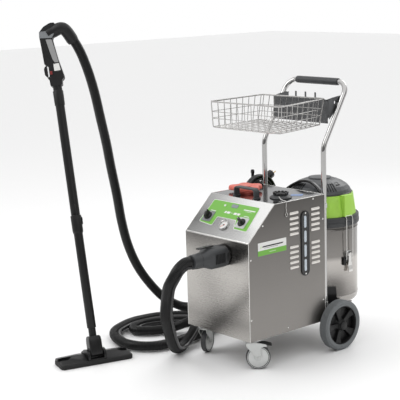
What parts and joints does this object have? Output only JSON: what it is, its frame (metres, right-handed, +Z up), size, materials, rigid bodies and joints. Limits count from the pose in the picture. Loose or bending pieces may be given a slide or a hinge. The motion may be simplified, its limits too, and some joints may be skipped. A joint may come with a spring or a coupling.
{
  "type": "steam cleaner",
  "caption": "Commercial steam cleaner on a wheeled stainless cart with push handle, wire basket, wet/dry vacuum, steam and suction hose, wand and floor nozzle",
  "frame": {"origin": "on the floor, under the middle of the object without its hose and mains cable", "axes": "+X to the right of the cart seen from its front, +Y to its rear, +Z up"},
  "size_m": [1.0272, 1.295, 1.3952],
  "materials": {
    "stainless": "brushed stainless sheet",
    "chrome": "polished plate",
    "zinc": "bright zinc plate",
    "black_plastic": "fine texture",
    "grey_plastic": "fine texture",
    "green_plastic": "semi-matt",
    "red_plastic": "semi-matt",
    "rubber_grey": "grey non-marking tread",
    "hose_black": "ribbed hose with a smooth steam line",
    "cable_black": "smooth sheath",
    "tank_white": "translucent white",
    "boiler_steel": "welded vessel",
    "brass": "cast"
  },
  "bodies": {
    "cart": {"chassis_tray": "stainless", "front_panel": "stainless", "control_panel": "stainless", "top_cover": "stainless", "left_side_panel": "stainless", "right_side_panel": "stainless", "rear_panel": "stainless", "rear_platform": "stainless", "boiler": "boiler_steel", "pump": "brass", "water_tank": "tank_white", "gauge_body": "chrome", "level_window_frame": "black_plastic", "top_grip": "black_plastic", "handle_frame": "chrome", "handle_grip": "black_plastic", "wire_basket": "chrome", "basket_back_plate": "grey_plastic", "rear_axle": "zinc", "vacuum_base": "grey_plastic", "vacuum_drum": "stainless", "drum_ring": "grey_plastic", "head_band": "green_plastic", "motor_dome": "grey_plastic", "head_handle": "black_plastic", "cable_hook": "black_plastic", "mains_plug": "black_plastic", "mains_cable_hank": "cable_black", "mains_cable": "cable_black", "hose_socket": "black_plastic", "hose_plug": "grey_plastic", "steam_hose": "hose_black", "lower_tube": "black_plastic", "upper_tube": "black_plastic", "wand_handle": "grey_plastic", "nozzle_neck": "black_plastic"},
    "left_caster_wheel": {"left_caster_wheel": "rubber_grey"},
    "right_caster_wheel": {"right_caster_wheel": "rubber_grey"},
    "left_brake_pedal": {"left_brake_pedal": "black_plastic"},
    "right_brake_pedal": {"right_brake_pedal": "black_plastic"},
    "left_switch_knob": {"left_switch_knob": "black_plastic"},
    "right_switch_knob": {"right_switch_knob": "black_plastic"},
    "gauge_needle": {"gauge_needle": "red_plastic"},
    "filler_cap": {"filler_cap": "black_plastic"},
    "boiler_cap": {"boiler_cap": "red_plastic"},
    "vacuum_switch": {"vacuum_switch": "black_plastic"},
    "left_latch_lever": {"left_latch_lever": "zinc"},
    "left_latch_bail": {"left_latch_bail": "zinc"},
    "right_latch_lever": {"right_latch_lever": "zinc"},
    "right_latch_bail": {"right_latch_bail": "zinc"},
    "plug_latch": {"plug_latch": "black_plastic"},
    "steam_trigger": {"steam_trigger": "black_plastic"},
    "safety_slide": {"safety_slide": "red_plastic"},
    "nozzle_body": {"nozzle_body": "black_plastic"},
    "left_caster": {"left_caster_fork": "zinc"},
    "right_caster": {"right_caster_fork": "zinc"},
    "left_rear_wheel": {"left_rear_tyre": "rubber_grey", "left_rear_hub": "black_plastic"},
    "right_rear_wheel": {"right_rear_tyre": "rubber_grey", "right_rear_hub": "black_plastic"}
  },
  "joints": [
    {"name": "left_caster_swivel", "type": "hinge", "parent": "cart", "child": "left_caster", "pos_m": [0.1266, -0.0825, 0.12], "axis": [0, 0, 1], "continuous": true},
    {"name": "left_caster_spin", "type": "hinge", "parent": "left_caster", "child": "left_caster_wheel", "pos_m": [0.11592, -0.05989, 0.05], "axis": [-0.9042, -0.4271, 0], "continuous": true},
    {"name": "left_brake_press", "type": "hinge", "parent": "left_caster", "child": "left_brake_pedal", "pos_m": [0.11315, -0.05402, 0.107], "axis": [-0.9042, -0.4271, 0], "range_deg": [0, 12]},
    {"name": "right_caster_swivel", "type": "hinge", "parent": "cart", "child": "right_caster", "pos_m": [0.4146, -0.0825, 0.12], "axis": [0, 0, 1], "continuous": true},
    {"name": "right_caster_spin", "type": "hinge", "parent": "right_caster", "child": "right_caster_wheel", "pos_m": [0.43088, -0.06352, 0.05], "axis": [-0.759, 0.651, 0], "continuous": true},
    {"name": "right_brake_press", "type": "hinge", "parent": "right_caster", "child": "right_brake_pedal", "pos_m": [0.43511, -0.05859, 0.107], "axis": [-0.759, 0.651, 0], "range_deg": [0, 12]},
    {"name": "left_rear_wheel_spin", "type": "hinge", "parent": "cart", "child": "left_rear_wheel", "pos_m": [0.0501, 0.3575, 0.106], "axis": [1, 0, 0], "continuous": true},
    {"name": "right_rear_wheel_spin", "type": "hinge", "parent": "cart", "child": "right_rear_wheel", "pos_m": [0.4911, 0.3575, 0.106], "axis": [1, 0, 0], "continuous": true},
    {"name": "left_switch_turn", "type": "hinge", "parent": "cart", "child": "left_switch_knob", "pos_m": [0.1546, -0.06833, 0.59422], "axis": [0, -0.6843, 0.7292], "range_deg": [-90, 0]},
    {"name": "right_switch_turn", "type": "hinge", "parent": "cart", "child": "right_switch_knob", "pos_m": [0.3586, -0.06979, 0.59285], "axis": [0, -0.6843, 0.7292], "range_deg": [-90, 0]},
    {"name": "gauge_needle_sweep", "type": "hinge", "parent": "cart", "child": "gauge_needle", "pos_m": [0.2706, -0.08875, 0.57506], "axis": [0, -0.6843, 0.7292], "range_deg": [-270, 0], "stiffness_Nm_per_rad": 0.0005},
    {"name": "filler_cap_turn", "type": "hinge", "parent": "cart", "child": "filler_cap", "pos_m": [0.3786, 0.1295, 0.671], "axis": [0, 0, 1], "range_deg": [0, 90]},
    {"name": "boiler_cap_turn", "type": "hinge", "parent": "cart", "child": "boiler_cap", "pos_m": [0.1706, 0.1295, 0.671], "axis": [0, 0, 1], "range_deg": [0, 360]},
    {"name": "vacuum_switch_rock", "type": "hinge", "parent": "cart", "child": "vacuum_switch", "pos_m": [0.3666, 0.4795, 0.67], "axis": [0, 1, 0], "range_deg": [0, 8]},
    {"name": "left_latch_swing", "type": "hinge", "parent": "cart", "child": "left_latch_lever", "pos_m": [0.0946, 0.4795, 0.384], "axis": [0, 1, 0], "range_deg": [0, 150]},
    {"name": "left_bail_swing", "type": "hinge", "parent": "left_latch_lever", "child": "left_latch_bail", "pos_m": [0.0946, 0.4795, 0.362], "axis": [0, 1, 0], "range_deg": [-150, 0]},
    {"name": "right_latch_swing", "type": "hinge", "parent": "cart", "child": "right_latch_lever", "pos_m": [0.4386, 0.4795, 0.384], "axis": [0, -1, 0], "range_deg": [0, 150]},
    {"name": "right_bail_swing", "type": "hinge", "parent": "right_latch_lever", "child": "right_latch_bail", "pos_m": [0.4386, 0.4795, 0.362], "axis": [0, -1, 0], "range_deg": [-150, 0]},
    {"name": "plug_latch_press", "type": "hinge", "parent": "cart", "child": "plug_latch", "pos_m": [0.3136, -0.2365, 0.5135], "axis": [1, 0, 0], "range_deg": [0, 6], "stiffness_Nm_per_rad": 0.05},
    {"name": "steam_trigger_press", "type": "hinge", "parent": "cart", "child": "steam_trigger", "pos_m": [-0.45308, -0.42701, 1.2076], "axis": [0.7347, -0.6302, 0.2512], "range_deg": [0, 6], "stiffness_Nm_per_rad": 0.4},
    {"name": "safety_slide_push", "type": "slide", "parent": "cart", "child": "safety_slide", "axis": [-0.2672, 0.0716, 0.961], "range_m": [0, 0.006]},
    {"name": "nozzle_tilt", "type": "hinge", "parent": "cart", "child": "nozzle_body", "pos_m": [-0.10771, -0.48665, 0.048], "axis": [0.259, 0.9659, 0], "range_deg": [-20, 20]}
  ],
  "couplings": [
    {"joint": "left_bail_swing", "follows": "left_latch_swing", "ratio": -1},
    {"joint": "right_bail_swing", "follows": "right_latch_swing", "ratio": -1}
  ]
}
